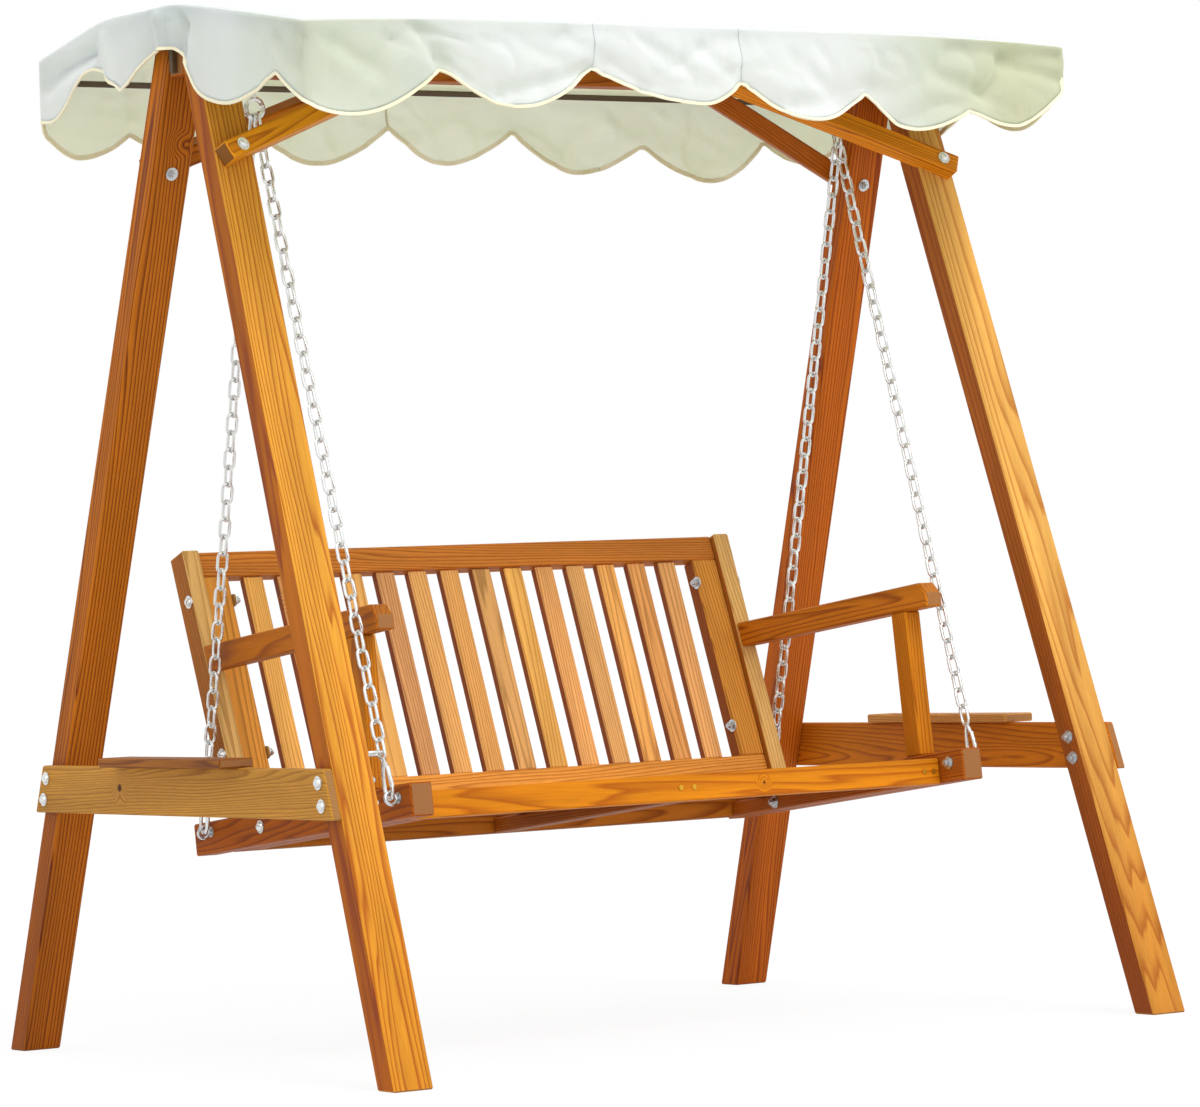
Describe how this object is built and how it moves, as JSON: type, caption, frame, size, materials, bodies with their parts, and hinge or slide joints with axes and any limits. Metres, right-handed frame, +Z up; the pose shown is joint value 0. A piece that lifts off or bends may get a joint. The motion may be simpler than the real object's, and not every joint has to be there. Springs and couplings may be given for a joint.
{
  "type": "canopy swing bench",
  "caption": "Timber A-frame garden swing with a slatted bench hung on chains under a white scalloped cloth canopy.",
  "frame": {"origin": "on the floor, under the middle of the ridge beam, at the bottom centre of the whole swing", "axes": "+X along the ridge beam to the sitter's left, +Y to the rear, +Z up"},
  "size_m": [1.638, 1.2472, 1.712],
  "materials": {
    "timber": "oiled orange-brown pine, planed, eased edges",
    "pale_timber": "paler planed pine",
    "tray_timber": "red-brown stained pine",
    "canopy_cloth": "white woven polyester with a bound hem",
    "frame_tube": "brown painted steel tube",
    "zinc": "bright zinc plating"
  },
  "bodies": {
    "stand": {"leg_front_left": "timber", "leg_rear_left": "timber", "leg_front_right": "timber", "leg_rear_right": "timber", "ridge_beam": "timber", "side_rail_left": "timber", "tray_left": "tray_timber", "ridge_hook_left": "zinc", "side_rail_right": "timber", "tray_right": "tray_timber", "ridge_hook_right": "zinc", "brace_front_left": "timber", "brace_rear_left": "timber", "brace_front_right": "timber", "brace_rear_right": "timber", "canopy_frame": "frame_tube", "canopy_cover": "canopy_cloth"},
    "seat": {"seat_rail_left": "timber", "seat_rail_right": "timber", "front_rail": "timber", "rear_rail": "timber", "bearer_left": "timber", "bearer_middle": "timber", "bearer_right": "timber", "seat_slat_1": "timber", "seat_slat_2": "timber", "seat_slat_3": "timber", "seat_slat_4": "timber", "seat_slat_5": "timber", "back_stile_left": "pale_timber", "back_post_left": "pale_timber", "back_stile_right": "pale_timber", "back_post_right": "pale_timber", "back_top_rail": "pale_timber", "back_bottom_rail": "pale_timber", "back_slat_01": "pale_timber", "back_slat_02": "pale_timber", "back_slat_03": "pale_timber", "back_slat_04": "pale_timber", "back_slat_05": "pale_timber", "back_slat_06": "pale_timber", "back_slat_07": "pale_timber", "back_slat_08": "pale_timber", "back_slat_09": "pale_timber", "back_slat_10": "pale_timber", "back_slat_11": "pale_timber", "back_slat_12": "pale_timber", "back_slat_13": "pale_timber", "back_slat_14": "pale_timber", "armrest_left": "timber", "arm_post_left": "timber", "armrest_right": "timber", "arm_post_right": "timber", "chain_front_left": "zinc", "chain_rear_left": "zinc", "chain_front_right": "zinc", "chain_rear_right": "zinc"}
  },
  "joints": [
    {"name": "seat_swing", "type": "hinge", "parent": "stand", "child": "seat", "pos_m": [0, 0, 1.535], "axis": [1, 0, 0], "range_deg": [-20, 20]}
  ]
}
